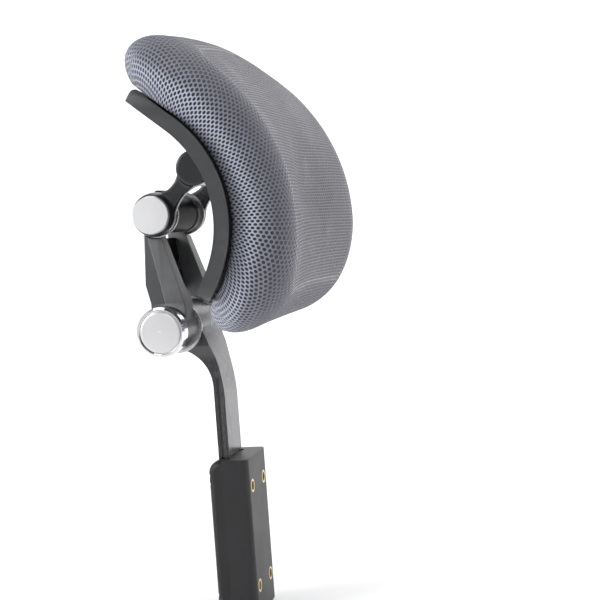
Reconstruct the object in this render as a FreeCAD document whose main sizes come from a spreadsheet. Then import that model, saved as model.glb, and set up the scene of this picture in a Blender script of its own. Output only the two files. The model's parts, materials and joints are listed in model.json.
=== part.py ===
import FreeCAD, Part
import math
import os
import re

import Sketcher

# Height- and tilt-adjustable headrest for a mesh office chair.
# +X is the sitter's left-right direction, -Y is the front, +Z is up. The origin is the centre of
# the four threaded holes in the bracket's front face, which lies against the chair's back frame.
# Above the bracket a flat bar carries a friction pivot, a two-legged link, a second pivot and the
# padded head. Outlines of parts on a pivot are drawn about that pivot, y to the rear and z up.

SIZES = {
    # where the pivots and the shell's arc are
    "lower_y": 40, "lower_z": 135, "upper_back": 4.7, "upper_rise": 71.2,
    "arc_back": 20.6, "arc_rise": 65.9, "wrap_radius": 735,
    # bracket
    "bracket_half": 25, "bracket_height": 100, "bracket_depth": 26, "bracket_round": 8,
    "corner_round": 4, "bolt_x": 30, "bolt_z": 64, "bolt_bore": 3, "insert_radius": 4.2,
    "insert_depth": 9, "liner_wall": 1.5, "slide_gap": 0.08, "cover_screw_x": 21.4,
    "cover_screw_z": 38, "screw_radius": 1.9, "screw_head": 3.4, "screw_head_depth": 3,
    # stem
    "stem_mid": 22.9, "stem_thick": 7, "stem_half": 16, "head_half": 20.5, "stem_end": 150,
    "hub_radius": 15.6, "hub_bore": 8, "stop_radius": 2,
    # lower pivot
    "axle_radius": 6, "axle_end": 43.4, "nut_thick": 3.6, "nut_radius": 10,
    "running_gap": 0.05, "washer_thick": 0.7, "washer_radius": 16.4,
    "barrel_radius": 14.5, "barrel_out": 47, "ring_out": 52, "ring_radius": 15.0,
    "cap_out": 57, "cap_radius": 15.3, "recess_radius": 11, "recess_depth": 9,
    # link
    "leg_in": 22.3, "knuckle_out": 30, "knuckle_radius": 12.5, "web_thick": 4,
    # upper pivot
    "pin_radius": 5, "eye_in": 30.9, "eye_out": 40, "eye_radius": 13.6, "eye_face": 11.9,
    "disc_out": 42.8, "disc_radius": 11.7, "eye_recess": 8, "eye_recess_depth": 4.5,
    # head bracket
    "boss_forward": 28.3, "boss_rise": 26.8, "boss_radius": 11,
    "plate_thick": 4, "plate_half_angle": 2.9, "plate_low": 12, "plate_high": 61,
    # back shell, an arc in side view that runs straight near its top edge
    "shell_rear": 65.8, "shell_front": 74.2, "shell_low": 38, "shell_bend": 50, "shell_top": 73,
    "shell_floor": 3, "shell_rim": 4, "shell_angle": 12.5, "shell_half": 128, "shell_drop": 46,
    "shell_lift": 76, "shell_corner": 26,
    # pad
    "board_thick": 2.6, "pad_rear": 75.4, "pad_low": 37, "pad_high": 70, "pad_angle": 14,
    "pad_half": 137, "pad_drop": 68, "pad_lift": 108, "pad_corner": 40,
    "crest_back": 20.8, "crest_drop": 6.8, "crest_radius": 131.1, "crest_low": 15.5,
    "crest_high": 54, "roll_low": 23, "roll_high": 19.2, "pad_round": 28, "pad_front": 116, "cover_thick": 2,
}

doc = FreeCAD.newDocument("headrest")
sheet = doc.addObject("Spreadsheet::Sheet", "dims")
for row, (word, size) in enumerate(SIZES.items(), start=1):
    sheet.set(f"A{row}", word)
    sheet.set(f"B{row}", str(size))
    sheet.setAlias(f"B{row}", word)
doc.recompute()

probe = doc.addObject("App::FeaturePython", "probe")
probe.addProperty("App::PropertyFloat", "answer")

finished = []


def bound(text):
    """Write an expression on the sheet's cells: each word that names a size becomes dims.word."""
    return re.sub(r"[a-z_]+", lambda m: "dims." + m.group() if m.group() in SIZES else m.group(),
                  str(text))


def number(text):
    """The present value of an expression, for a sketch's first guess."""
    probe.setExpression("answer", bound(text))
    probe.recompute()
    return probe.answer


def bind(thing, prop, text):
    thing.setExpression(prop, bound(text))


def place(thing, x="0", y="0", z="0"):
    for axis, text in (("x", x), ("y", y), ("z", z)):
        bind(thing, f"Placement.Base.{axis}", text)


LOWER_PIVOT = ("0", "lower_y", "lower_z")
UPPER_PIVOT = ("0", "lower_y + upper_back", "lower_z + upper_rise")
ARC_CENTRE = ("0", "lower_y + arc_back", "lower_z + arc_rise")


def new_body(label, at=("0", "0", "0")):
    body = doc.addObject("PartDesign::Body", label)
    body.Label = label
    place(body, *at)
    return body


def keep(thing):
    """Count an object as a finished sub-part."""
    doc.recompute()
    finished.append(thing)
    return thing


def new_sketch(body, plane_role, offset="0"):
    sketch = body.newObject("Sketcher::SketchObject", "outline")
    plane = next(f for f in body.Origin.OriginFeatures if f.Role == plane_role)
    sketch.AttachmentSupport = (plane, "")
    sketch.MapMode = "FlatFace"
    bind(sketch, "AttachmentOffset.Base.z", offset)
    return sketch


def arc_between(start, end, radius):
    """Arc from start to end: radius > 0 turns counter-clockwise, < 0 clockwise, under 180 degrees."""
    size = abs(radius)
    half = math.dist(start, end) / 2
    reach = math.sqrt(max(size * size - half * half, 0))
    side = 1 if radius > 0 else -1
    along = ((end[0] - start[0]) / (2 * half), (end[1] - start[1]) / (2 * half))
    middle = ((start[0] + end[0]) / 2, (start[1] + end[1]) / 2)
    centre = (middle[0] - side * along[1] * reach, middle[1] + side * along[0] * reach)
    first, last = (start, end) if side > 0 else (end, start)
    begin = math.atan2(first[1] - centre[1], first[0] - centre[0])
    finish = math.atan2(last[1] - centre[1], last[0] - centre[0])
    if finish < begin:
        finish += 2 * math.pi
    circle = Part.Circle(FreeCAD.Vector(*centre, 0), FreeCAD.Vector(0, 0, 1), size)
    return Part.ArcOfCircle(circle, begin, finish)


def bind_constraint(sketch, constraint, text):
    index = sketch.addConstraint(constraint)
    name = f"size{index}"
    sketch.renameConstraint(index, name)
    bind(sketch, f"Constraints.{name}", text)


def outline(sketch, corners):
    """Closed outline through corners (x, y) or (x, y, radius of the arc that leads there)."""
    points = [(number(corner[0]), number(corner[1])) for corner in corners]
    ends = []
    for i, corner in enumerate(corners):
        start = points[i - 1]
        end = points[i]
        if len(corner) == 3:
            radius = number(corner[2])
            edge = sketch.addGeometry(arc_between(start, end, radius))
            ends.append((edge, 1, 2) if radius > 0 else (edge, 2, 1))
            bind_constraint(sketch, Sketcher.Constraint("Radius", edge, abs(radius)),
                            f"abs({corner[2]})")
        else:
            line = Part.LineSegment(FreeCAD.Vector(*start, 0), FreeCAD.Vector(*end, 0))
            edge = sketch.addGeometry(line)
            ends.append((edge, 1, 2))
    for i, corner in enumerate(corners):
        edge, _, last = ends[i]
        following, first, _ = ends[(i + 1) % len(ends)]
        sketch.addConstraint(Sketcher.Constraint("Coincident", edge, last, following, first))
        for kind, value, text in (("DistanceX", points[i][0], corner[0]),
                                  ("DistanceY", points[i][1], corner[1])):
            bind_constraint(sketch, Sketcher.Constraint(kind, -1, 1, edge, last, value), text)


def circle(sketch, x, y, radius):
    centre = FreeCAD.Vector(number(x), number(y), 0)
    edge = sketch.addGeometry(Part.Circle(centre, FreeCAD.Vector(0, 0, 1), number(radius)))
    bind_constraint(sketch, Sketcher.Constraint("DistanceX", -1, 1, edge, 3, centre.x), x)
    bind_constraint(sketch, Sketcher.Constraint("DistanceY", -1, 1, edge, 3, centre.y), y)
    bind_constraint(sketch, Sketcher.Constraint("Radius", edge, number(radius)), radius)


def rectangle(sketch, x_low, y_low, x_high, y_high):
    outline(sketch, [(x_low, y_low), (x_high, y_low), (x_high, y_high), (x_low, y_high)])


def extrude(body, sketch, length, kind="Pad", symmetric=False, reverse=False):
    feature = body.newObject(f"PartDesign::{kind}", kind)
    feature.Profile = sketch
    bind(feature, "Length", length)
    feature.SideType = "Symmetric" if symmetric else "One side"
    feature.Reversed = reverse
    doc.recompute()
    return feature


def cut(body, sketch, length, symmetric=False, reverse=False):
    """A pocket, checked to have taken material away."""
    before = body.Shape.Volume
    feature = extrude(body, sketch, length, "Pocket", symmetric, reverse)
    if body.Shape.Volume > before - 0.01:
        raise RuntimeError(f"{body.Label}: a pocket cuts nothing")
    return feature


def turn(body, sketch, axis, angle="360", symmetric=False):
    feature = body.newObject("PartDesign::Revolution", "Revolution")
    feature.Profile = sketch
    feature.ReferenceAxis = (sketch, [axis])
    bind(feature, "Angle", angle)
    feature.Midplane = symmetric
    doc.recompute()
    return feature


def round_edges(body, wanted, radius, kind="Fillet"):
    """Fillet or chamfer the edges of the body for which wanted(edge) is true."""
    base = body.Tip
    names = [f"Edge{i}" for i, edge in enumerate(base.Shape.Edges, start=1) if wanted(edge)]
    feature = body.newObject(f"PartDesign::{kind}", kind)
    feature.Base = (base, names)
    bind(feature, "Radius" if kind == "Fillet" else "Size", radius)
    doc.recompute()
    return feature


def turned(label, at, corners, sign=1):
    """A part turned about the X axis through a place: corners are (x, radius); sign mirrors it."""
    body = new_body(label, at)
    sketch = new_sketch(body, "XY_Plane")
    outline(sketch, [(f"{sign} * ({corner[0]})", corner[1]) for corner in corners])
    turn(body, sketch, "H_Axis")
    return body


def ring(label, at, x_low, x_high, inner, outer, sign=1):
    return keep(turned(label, at, [(x_low, inner), (x_high, inner), (x_high, outer),
                                   (x_low, outer)], sign))


def cylinder(radius, height, at, tilt="0"):
    """Plain cylinder whose axis is Z, tilted about X."""
    thing = doc.addObject("Part::Cylinder", "cylinder")
    bind(thing, "Radius", radius)
    bind(thing, "Height", height)
    thing.Placement.Rotation = FreeCAD.Rotation(FreeCAD.Vector(1, 0, 0), 1)
    bind(thing, "Placement.Rotation.Angle", tilt)
    place(thing, *at)
    return thing


def combine(kind, things, label="joined"):
    """Fuse, cut or gather things; for a cut the first one is the stock."""
    if kind == "Part::Cut":
        feature = doc.addObject(kind, label)
        feature.Base = things[0]
        feature.Tool = things[1]
    else:
        feature = doc.addObject(kind, label)
        if kind == "Part::Compound":
            feature.Links = things
        else:
            feature.Shapes = things
    feature.Label = label
    doc.recompute()
    return feature


def socket_screw(at, tilt, shank, shank_length, head, head_height):
    """Socket-head screw: the head starts at the place and rises along the tilted Z axis."""
    x, y, z = at
    turned_y = f"-sin({tilt})"
    turned_z = f"cos({tilt})"
    shank_at = (x, f"{y} - {turned_y} * ({shank_length})", f"{z} - {turned_z} * ({shank_length})")
    body = cylinder(shank, f"{shank_length} + 0.2", shank_at, tilt)
    cap = cylinder(head, head_height, at, tilt)
    hexagon = doc.addObject("Part::Prism", "hexagon")
    hexagon.Polygon = 6
    bind(hexagon, "Circumradius", f"0.55 * ({head})")
    bind(hexagon, "Height", head_height)
    hexagon.Placement.Rotation = FreeCAD.Rotation(FreeCAD.Vector(1, 0, 0), 1)
    bind(hexagon, "Placement.Rotation.Angle", tilt)
    place(hexagon, x, f"{y} + {turned_y} * 0.4 * ({head_height})",
          f"{z} + {turned_z} * 0.4 * ({head_height})")
    return combine("Part::Cut", [combine("Part::MultiFuse", [body, cap]), hexagon])


# ---------------------------------------------------------------- bracket

STEM_REAR = "lower_y - stem_mid + stem_thick / 2"
STEM_FRONT = "lower_y - stem_mid - stem_thick / 2"
CHANNEL_X = "stem_half + slide_gap + liner_wall"
CHANNEL_REAR = f"{STEM_REAR} + slide_gap + liner_wall"
CHANNEL_FRONT = f"{STEM_FRONT} - slide_gap - liner_wall"
SPLIT_Y = "lower_y - stem_mid"
CORNERS = [(sx, sz) for sx in (-1, 1) for sz in (-1, 1)]


def vertical_edges(edge):
    return edge.Curve.TypeId == "Part::GeomLine" and abs(edge.tangentAt(0).z) > 0.99


def make_bracket_base():
    """Front half of the bracket, with pockets for four threaded inserts."""
    body = new_body("bracket_base")
    sketch = new_sketch(body, "XY_Plane")
    rectangle(sketch, "-bracket_half", "0", "bracket_half", SPLIT_Y)
    extrude(body, sketch, "bracket_height", symmetric=True)
    round_edges(body, lambda e: vertical_edges(e) and e.Vertexes[0].Y < 1, "corner_round")
    channel = new_sketch(body, "XY_Plane")
    rectangle(channel, f"-({CHANNEL_X})", CHANNEL_FRONT, CHANNEL_X, f"{SPLIT_Y} + 1")
    cut(body, channel, "bracket_height + 2", symmetric=True)
    holes = new_sketch(body, "XZ_Plane")
    for sx, sz in CORNERS:
        circle(holes, f"{sx} * bolt_x / 2", f"{sz} * bolt_z / 2", "insert_radius")
    cut(body, holes, "insert_depth")
    pilots = new_sketch(body, "XZ_Plane", f"-({SPLIT_Y})")
    for sx, sz in CORNERS:
        circle(pilots, f"{sx} * cover_screw_x", f"{sz} * cover_screw_z", "screw_radius")
    cut(body, pilots, "10", reverse=True)
    keep(body)


def make_bracket_cover():
    """Rear half of the bracket, rounded over at its top and bottom rear edges."""
    body = new_body("bracket_cover")
    sketch = new_sketch(body, "XY_Plane")
    rectangle(sketch, "-bracket_half", SPLIT_Y, "bracket_half", "bracket_depth")
    extrude(body, sketch, "bracket_height", symmetric=True)
    depth = SIZES["bracket_depth"]
    round_edges(body, lambda e: e.BoundBox.YMin > depth - 0.1 and e.BoundBox.ZLength < 1,
                "bracket_round")
    round_edges(body, lambda e: e.BoundBox.YMin > depth - 0.1 and e.BoundBox.XLength < 1,
                "corner_round")
    channel = new_sketch(body, "XY_Plane")
    rectangle(channel, f"-({CHANNEL_X})", f"{SPLIT_Y} - 1", CHANNEL_X, CHANNEL_REAR)
    cut(body, channel, "bracket_height + 2", symmetric=True)
    recess = new_sketch(body, "XZ_Plane", f"-({CHANNEL_REAR})")
    rectangle(recess, "-6.1", "-16.1", "6.1", "16.1")
    cut(body, recess, "2.4")
    shanks = new_sketch(body, "XZ_Plane", f"-({SPLIT_Y})")
    heads = new_sketch(body, "XZ_Plane", "-bracket_depth")
    for sx, sz in CORNERS:
        circle(shanks, f"{sx} * cover_screw_x", f"{sz} * cover_screw_z", "screw_radius")
        circle(heads, f"{sx} * cover_screw_x", f"{sz} * cover_screw_z", "screw_head + 0.2")
    cut(body, shanks, "20")
    cut(body, heads, "screw_head_depth + 0.5", reverse=True)
    keep(body)


def make_bracket_inside():
    """Guide liner, the sprung friction shoe behind the stem, inserts and cover screws."""
    liner = new_body("guide_liner")
    tube = new_sketch(liner, "XY_Plane")
    rectangle(tube, f"-({CHANNEL_X})", CHANNEL_FRONT, CHANNEL_X, CHANNEL_REAR)
    rectangle(tube, "-(stem_half + slide_gap)", f"{STEM_FRONT} - slide_gap",
              "stem_half + slide_gap", f"{STEM_REAR} + slide_gap")
    extrude(liner, tube, "bracket_height - 2", symmetric=True)
    window = new_sketch(liner, "XZ_Plane", f"-({STEM_REAR})")
    rectangle(window, "-6.1", "-16.1", "6.1", "16.1")
    cut(liner, window, "4")
    keep(liner)

    shoe = new_body("friction_shoe")
    face = new_sketch(shoe, "XZ_Plane", f"-({STEM_REAR} + slide_gap)")
    rectangle(face, "-6", "-16", "6", "16")
    extrude(shoe, face, "1.6", reverse=True)
    keep(shoe)

    spring = new_body("shoe_spring")
    leaf = new_sketch(spring, "YZ_Plane")
    outline(leaf, [(f"{STEM_REAR} + slide_gap + 1.6", "0"),
                   (f"{CHANNEL_REAR} + 1.8", "15"), (f"{CHANNEL_REAR} + 2.4", "15"),
                   (f"{STEM_REAR} + slide_gap + 2.2", "0"),
                   (f"{CHANNEL_REAR} + 2.4", "-15"), (f"{CHANNEL_REAR} + 1.8", "-15")])
    extrude(spring, leaf, "10", symmetric=True)
    keep(spring)

    inserts = new_body("threaded_inserts")
    brass = new_sketch(inserts, "XZ_Plane")
    for sx, sz in CORNERS:
        circle(brass, f"{sx} * bolt_x / 2", f"{sz} * bolt_z / 2", "insert_radius")
        circle(brass, f"{sx} * bolt_x / 2", f"{sz} * bolt_z / 2", "bolt_bore")
    extrude(inserts, brass, "insert_depth", reverse=True)
    keep(inserts)

    screws = []
    for sx, sz in CORNERS:
        at = (f"{sx} * cover_screw_x", "bracket_depth - screw_head_depth - 0.5",
              f"{sz} * cover_screw_z")
        screws.append(socket_screw(at, "-90", "screw_radius", "12", "screw_head", "2.6"))
    keep(combine("Part::Compound", screws, "cover_screws"))


# ---------------------------------------------------------------- stem

def make_stem():
    """Forged bar: a round hub, a neck that sweeps forward and down, and a straight flat bar."""
    body = new_body("stem_bar", LOWER_PIVOT)
    side = new_sketch(body, "YZ_Plane")
    rear = "-stem_mid + stem_thick / 2"
    front = "-stem_mid - stem_thick / 2"
    outline(side, [(front, "-stem_end"), (rear, "-stem_end"), (rear, "-40"),
                   ("-2.6", "-14.4", "-27.9"), ("12", "-6", "15.2"), ("12", "6", "14"),
                   ("-6", "13.6", "15"), ("-15.4", "-1.5", "17"), (front, "-50", "112.4")])
    extrude(body, side, "2 * head_half", symmetric=True)
    hub = new_sketch(body, "YZ_Plane")
    circle(hub, "0", "0", "hub_radius")
    extrude(body, hub, "2 * head_half", symmetric=True)
    trim = new_sketch(body, "XZ_Plane")
    for sign in (-1, 1):
        outline(trim, [(f"{sign} * (head_half + 5)", "-stem_end - 5"),
                       (f"{sign} * stem_half", "-stem_end - 5"), (f"{sign} * stem_half", "-30"),
                       (f"{sign} * (head_half + 5)", "-5", f"{sign} * -38")])
    cut(body, trim, "120", symmetric=True)
    for sign in (-1, 1):
        groove = new_sketch(body, "YZ_Plane", f"{sign} * stem_half")
        rectangle(groove, "-stem_mid - 0.2", "-stem_end + 6", "-stem_mid + 1.2", "-34")
        cut(body, groove, "0.7", reverse=sign < 0)
    bore = new_sketch(body, "YZ_Plane")
    circle(bore, "0", "0", "hub_bore")
    cut(body, bore, "60", symmetric=True)
    stop = new_sketch(body, "XZ_Plane")
    circle(stop, "0", "-stem_end + 7", "stop_radius")
    cut(body, stop, "80", symmetric=True)
    keep(body)

    pin = new_body("stop_pin", LOWER_PIVOT)
    shape = new_sketch(pin, "XZ_Plane", "stem_mid - stem_thick / 2 + 0.2")
    circle(shape, "0", "-stem_end + 7", "stop_radius")
    extrude(pin, shape, "stem_thick - 0.4")
    keep(pin)
    for side_name, sign in (("left", 1), ("right", -1)):
        ring(f"hub_bush_{side_name}", LOWER_PIVOT, "2", "head_half",
             "axle_radius + running_gap", "hub_bore", sign)


# ---------------------------------------------------------------- link

def leg_points(sign):
    """Corners of a leg, on four levels from the upper pivot down: A to E round each level."""
    leg_in = SIZES["leg_in"]
    levels = [
        (64, [(leg_in, 4.1), (32.0, 4.1), (33.0, 11.9), (28.0, 14.3), (leg_in, 14.3)]),
        (28, [(leg_in, -7.1), (36.0, -7.1), (37.9, 3.1), (32.5, 14.6), (leg_in, 14.6)]),
        (16.5, [(leg_in, -12.0), (41.0, -12.2), (39.0, 0.6), (34.0, 11.5), (leg_in, 11.5)]),
        (4, [(leg_in, -12.5), (42.0, -12.5), (42.0, 0.0), (36.0, 11.0), (leg_in, 11.0)]),
    ]
    y = SIZES["lower_y"]
    z = SIZES["lower_z"]
    return [[FreeCAD.Vector(sign * px, y + py, z + height) for px, py in ring_points]
            for height, ring_points in levels]


def faceted_leg(sign):
    """Solid with flat facets through the leg's corners; the lower front facet folds diagonally."""
    levels = leg_points(sign)
    faces = [Part.Face(Part.makePolygon(levels[0] + levels[0][:1])),
             Part.Face(Part.makePolygon(levels[-1] + levels[-1][:1]))]
    count = len(levels[0])
    for upper, lower in zip(levels, levels[1:]):
        for i in range(count):
            j = (i + 1) % count
            for triangle in ((upper[i], upper[j], lower[j]), (upper[i], lower[j], lower[i])):
                faces.append(Part.Face(Part.makePolygon(list(triangle) + [triangle[0]])))
    solid = Part.Solid(Part.Shell(faces))
    if solid.Volume < 0:
        solid.reverse()
    return solid


def x_cylinder(radius, low, high, at, sign):
    """Solid cylinder along X between two distances from the middle plane."""
    start = min(sign * low, sign * high)
    return Part.makeCylinder(radius, high - low, FreeCAD.Vector(start, *at),
                             FreeCAD.Vector(1, 0, 0))


def make_leg(side_name, sign):
    """Cast leg: a knuckle at the upper pivot, a faceted shank and a barrel at the lower pivot."""
    lower = (SIZES["lower_y"], SIZES["lower_z"])
    upper = (lower[0] + SIZES["upper_back"], lower[1] + SIZES["upper_rise"])
    barrel_in = SIZES["head_half"] + SIZES["washer_thick"] + 0.2
    barrel_out = SIZES["barrel_out"]
    leg_in = SIZES["leg_in"]
    solid = faceted_leg(sign)
    solid = solid.fuse(x_cylinder(SIZES["knuckle_radius"], leg_in, SIZES["knuckle_out"], upper, sign))
    solid = solid.fuse(x_cylinder(SIZES["barrel_radius"], barrel_in, barrel_out, lower, sign))
    eye_space = x_cylinder(SIZES["eye_radius"] + 0.9, SIZES["knuckle_out"], 60, upper, sign)
    solid = solid.cut(eye_space)
    pin_space = x_cylinder(SIZES["pin_radius"] + SIZES["running_gap"], 0, 60, upper, sign)
    solid = solid.cut(pin_space)
    solid = solid.cut(x_cylinder(SIZES["axle_radius"], 0, 60, lower, sign))
    recess = x_cylinder(SIZES["recess_radius"], barrel_out - SIZES["recess_depth"], 60, lower, sign)
    solid = solid.cut(recess).removeSplitter()
    leg = doc.addObject("Part::Feature", f"leg_{side_name}")
    leg.Label = f"leg_{side_name}"
    leg.Shape = solid.Solids[0] if len(solid.Solids) == 1 else solid
    keep(leg)


def make_link_middle():
    """Web between the legs, the tube between their knuckles with its stop lug, and two screws."""
    web = new_body("link_web", LOWER_PIVOT)
    side = new_sketch(web, "YZ_Plane")
    outline(side, [("13.4", "56"), ("13.4 - web_thick", "56"), ("9.2 - web_thick", "22"),
                   ("9.8", "22"), ("13.6", "28")])
    extrude(web, side, "2 * (leg_in - 0.05)", symmetric=True)
    keep(web)

    tube = turned("pivot_tube", UPPER_PIVOT,
                  [("-leg_in + 0.05", "pin_radius + running_gap"),
                   ("leg_in - 0.05", "pin_radius + running_gap"),
                   ("leg_in - 0.05", "knuckle_radius - 0.8"),
                   ("-leg_in + 0.05", "knuckle_radius - 0.8")])
    lug = new_sketch(tube, "YZ_Plane")
    rectangle(lug, "1.5", "8", "7.5", "15.6")
    extrude(tube, lug, "18", symmetric=True)
    round_edges(tube, lambda e: e.BoundBox.ZMin > 15 and e.BoundBox.XLength > 10, "2.5")
    keep(tube)

    screws = []
    for sign in (-1, 1):
        at = (f"{sign} * 13", "lower_y + 7.1", "lower_z + 38")
        screws.append(socket_screw(at, "90", "1.8", "5", "3.2", "1.8"))
    keep(combine("Part::Compound", screws, "web_screws"))


def make_lower_pivot():
    """Axle, washers, spring washers, head, nut, chrome rings and two-piece caps."""
    ring("lower_axle", LOWER_PIVOT, "-axle_end", "axle_end", "0.6", "axle_radius - 0.001")
    for side_name, sign in (("left", 1), ("right", -1)):
        ring(f"friction_washer_{side_name}", LOWER_PIVOT, "head_half + 0.05",
             "head_half + 0.05 + washer_thick", "axle_radius + 0.02", "washer_radius", sign)
        body = turned(f"lower_ring_{side_name}", LOWER_PIVOT,
                      [("barrel_out - 3", "recess_radius - 2"), ("ring_out", "recess_radius - 2"),
                       ("ring_out", "ring_radius - 0.8"), ("ring_out - 0.8", "ring_radius"),
                       ("barrel_out + 0.8", "ring_radius"), ("barrel_out", "ring_radius - 0.8"),
                       ("barrel_out", "recess_radius - 0.02"),
                       ("barrel_out - 3", "recess_radius - 0.02")], sign)
        keep(body)
        body = turned(f"lower_bezel_{side_name}", LOWER_PIVOT,
                      [("ring_out", "12.95"), ("cap_out - 0.4", "12.95"), ("cap_out", "13.4"),
                       ("cap_out", "cap_radius - 1.2"), ("cap_out - 1.4", "cap_radius"),
                       ("ring_out + 0.9", "cap_radius"), ("ring_out", "cap_radius - 0.9")], sign)
        keep(body)
        body = turned(f"lower_disc_{side_name}", LOWER_PIVOT,
                      [("ring_out - 3", "0"), ("cap_out + 0.2", "0"), ("cap_out - 0.1", "11.6"),
                       ("cap_out - 0.5", "12.5"), ("ring_out", "12.5"),
                       ("ring_out", "recess_radius - 2.02"),
                       ("ring_out - 3", "recess_radius - 2.02")], sign)
        keep(body)
    for label, start in (("axle_head", "barrel_out - recess_depth"), ("axle_nut", "-axle_end")):
        body = new_body(label, LOWER_PIVOT)
        flat = new_sketch(body, "YZ_Plane", start)
        outline(flat, [(f"nut_radius * cos({60 * i})", f"nut_radius * sin({60 * i})")
                       for i in range(6)])
        circle(flat, "0", "0", "axle_radius")
        extrude(body, flat, "nut_thick")
        keep(body)
    ring("spring_washers", LOWER_PIVOT, "barrel_out - recess_depth", "axle_end - nut_thick",
         "axle_radius", "nut_radius - 0.3", -1)
    screw = new_body("grub_screw", LOWER_PIVOT)
    seat = new_sketch(screw, "XY_Plane", "-barrel_radius - 0.9")
    circle(seat, "-33", "-1", "1.6")
    extrude(screw, seat, "1.1")
    keep(screw)


# ---------------------------------------------------------------- head

def polar(radius, angle, y="0", z="0"):
    """Point at an angle above straight forward, about the arc centre moved by (y, z)."""
    return (f"{y} - ({radius}) * cos({angle})", f"{z} + ({radius}) * sin({angle})")


def add_wrap_axis(sketch, y="0"):
    """Upright construction line in front of the sitter's face, which the head wraps around."""
    where = number(f"{y} - wrap_radius")
    line = Part.LineSegment(FreeCAD.Vector(where, 0, 0), FreeCAD.Vector(where, 50, 0))
    edge = sketch.addGeometry(line, True)
    sketch.addConstraint(Sketcher.Constraint("Vertical", edge))
    bind_constraint(sketch, Sketcher.Constraint("DistanceX", -1, 1, edge, 1, where),
                    f"{y} - wrap_radius")
    sketch.addConstraint(Sketcher.Constraint("DistanceY", -1, 1, edge, 1, 0))
    sketch.addConstraint(Sketcher.Constraint("DistanceY", -1, 1, edge, 2, 50))


def band(sketch, inner, outer, low, high, y="0", z="0"):
    """Sector of a ring about the arc centre, between two radii and two angles."""
    outline(sketch, [polar(outer, low, y, z), (*polar(outer, high, y, z), f"-({outer})"),
                     polar(inner, high, y, z), (*polar(inner, low, y, z), inner)])


def trim_outline(body, half, low, high, corner):
    """Trim the wrapped sweep to a rectangle with rounded corners, seen from the front."""
    sketch = new_sketch(body, "XZ_Plane")
    rectangle(sketch, "-400", "-400", "400", "400")
    outline(sketch, [(f"{half} - {corner}", low), (half, f"{low} + {corner}", corner),
                     (half, f"{high} - {corner}"), (f"{half} - {corner}", high, corner),
                     (f"{corner} - {half}", high), (f"-{half}", f"{high} - {corner}", corner),
                     (f"-{half}", f"{low} + {corner}"), (f"{corner} - {half}", low, corner)])
    cut(body, sketch, "400", symmetric=True)


def trim_plan(body, half, front, corner):
    """Round the two front corners of a sweep, seen from above; front is the crest's local y."""
    sketch = new_sketch(body, "XY_Plane")
    for sign in (-1, 1):
        outline(sketch, [(f"{sign} * ({half} - {corner})", f"{front} - 40"),
                         (f"{sign} * ({half} - {corner})", front),
                         (f"{sign} * ({half})", f"{front} + {corner}", f"{sign} * ({corner})"),
                         (f"{sign} * ({half} + 40)", f"{front} + {corner}"),
                         (f"{sign} * ({half} + 40)", f"{front} - 40")])
    cut(body, sketch, "400", symmetric=True)


def make_head_bracket():
    """Two eyes on the upper pivot, waisted necks up to a cross bar, and a plate on the shell."""
    body = new_body("head_bracket", UPPER_PIVOT)
    bar = new_sketch(body, "YZ_Plane")
    circle(bar, "-boss_forward", "boss_rise", "boss_radius")
    extrude(body, bar, "2 * (eye_out + 0.8)", symmetric=True)
    for sign in (-1, 1):
        neck = new_sketch(body, "YZ_Plane", f"{sign} * eye_in")
        outline(neck, [("0.6", "12.4"), ("-18", "29.1", "-16.8"), ("-30.0", "16.2"),
                       ("-13", "-2.2", "-24.6")])
        extrude(body, neck, "eye_out - 2.2 - eye_in", reverse=sign < 0)
        eye = new_sketch(body, "XY_Plane")
        outline(eye, [(f"{sign} * eye_in", "0"), (f"{sign} * eye_out", "0"),
                      (f"{sign} * eye_out", "eye_face"),
                      (f"{sign} * (eye_out - 2.4)", "eye_radius"),
                      (f"{sign} * eye_in", "eye_radius")])
        turn(body, eye, "H_Axis")
    sketch = new_sketch(body, "YZ_Plane")
    y = "arc_back - upper_back"
    z = "arc_rise - upper_rise"
    add_wrap_axis(sketch, y)
    band(sketch, "shell_rear - 0.02 - plate_thick", "shell_rear - 0.02", "plate_low",
         "plate_high", y, z)
    turn(body, sketch, "Axis0", "2 * plate_half_angle", symmetric=True)
    bore = new_sketch(body, "YZ_Plane")
    circle(bore, "0", "0", "pin_radius")
    cut(body, bore, "120", symmetric=True)
    for sign in (-1, 1):
        recess = new_sketch(body, "YZ_Plane", f"{sign} * eye_out")
        circle(recess, "0", "0", "eye_recess")
        cut(body, recess, "eye_recess_depth", reverse=sign < 0)
    keep(body)


def make_upper_pivot():
    """Pin held in the bracket's eyes, its head and nut, bright washers and flat end discs."""
    ring("upper_pin", UPPER_PIVOT, "-eye_out + 1.4", "eye_out - 1.4", "0.5", "pin_radius - 0.001")
    for side_name, sign in (("left", 1), ("right", -1)):
        ring(f"eye_washer_{side_name}", UPPER_PIVOT, "knuckle_out + 0.05", "eye_in - 0.1",
             "pin_radius + running_gap", "eye_radius + 0.5", sign)
        body = turned(f"upper_disc_{side_name}", UPPER_PIVOT,
                      [("eye_out - 1", "0"), ("disc_out", "0"), ("disc_out", "disc_radius - 0.7"),
                       ("disc_out - 0.7", "disc_radius"), ("eye_out + 0.6", "disc_radius"),
                       ("eye_out", "disc_radius - 0.6"), ("eye_out", "eye_recess - 0.05"),
                       ("eye_out - 1", "eye_recess - 0.05")], sign)
        keep(body)
        ring(f"pin_clip_{side_name}", UPPER_PIVOT, "eye_out - eye_recess_depth", "eye_out - 1.5",
             "pin_radius", "7.4", sign)


def make_bracket_screws():
    """Four screws, square to the shell's curve, through the plate's corners."""
    screws = []
    for angle in (17, 56):
        for sign in (-1, 1):
            y, z = polar("shell_rear - plate_thick + 0.05", str(angle), ARC_CENTRE[1], ARC_CENTRE[2])
            at = (f"{sign} * 26", f"{y} - 0.45", z)
            screws.append(socket_screw(at, f"-90 - {angle}", "2", "plate_thick + 2", "3.6", "2.2"))
    keep(combine("Part::Compound", screws, "bracket_screws"))


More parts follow.
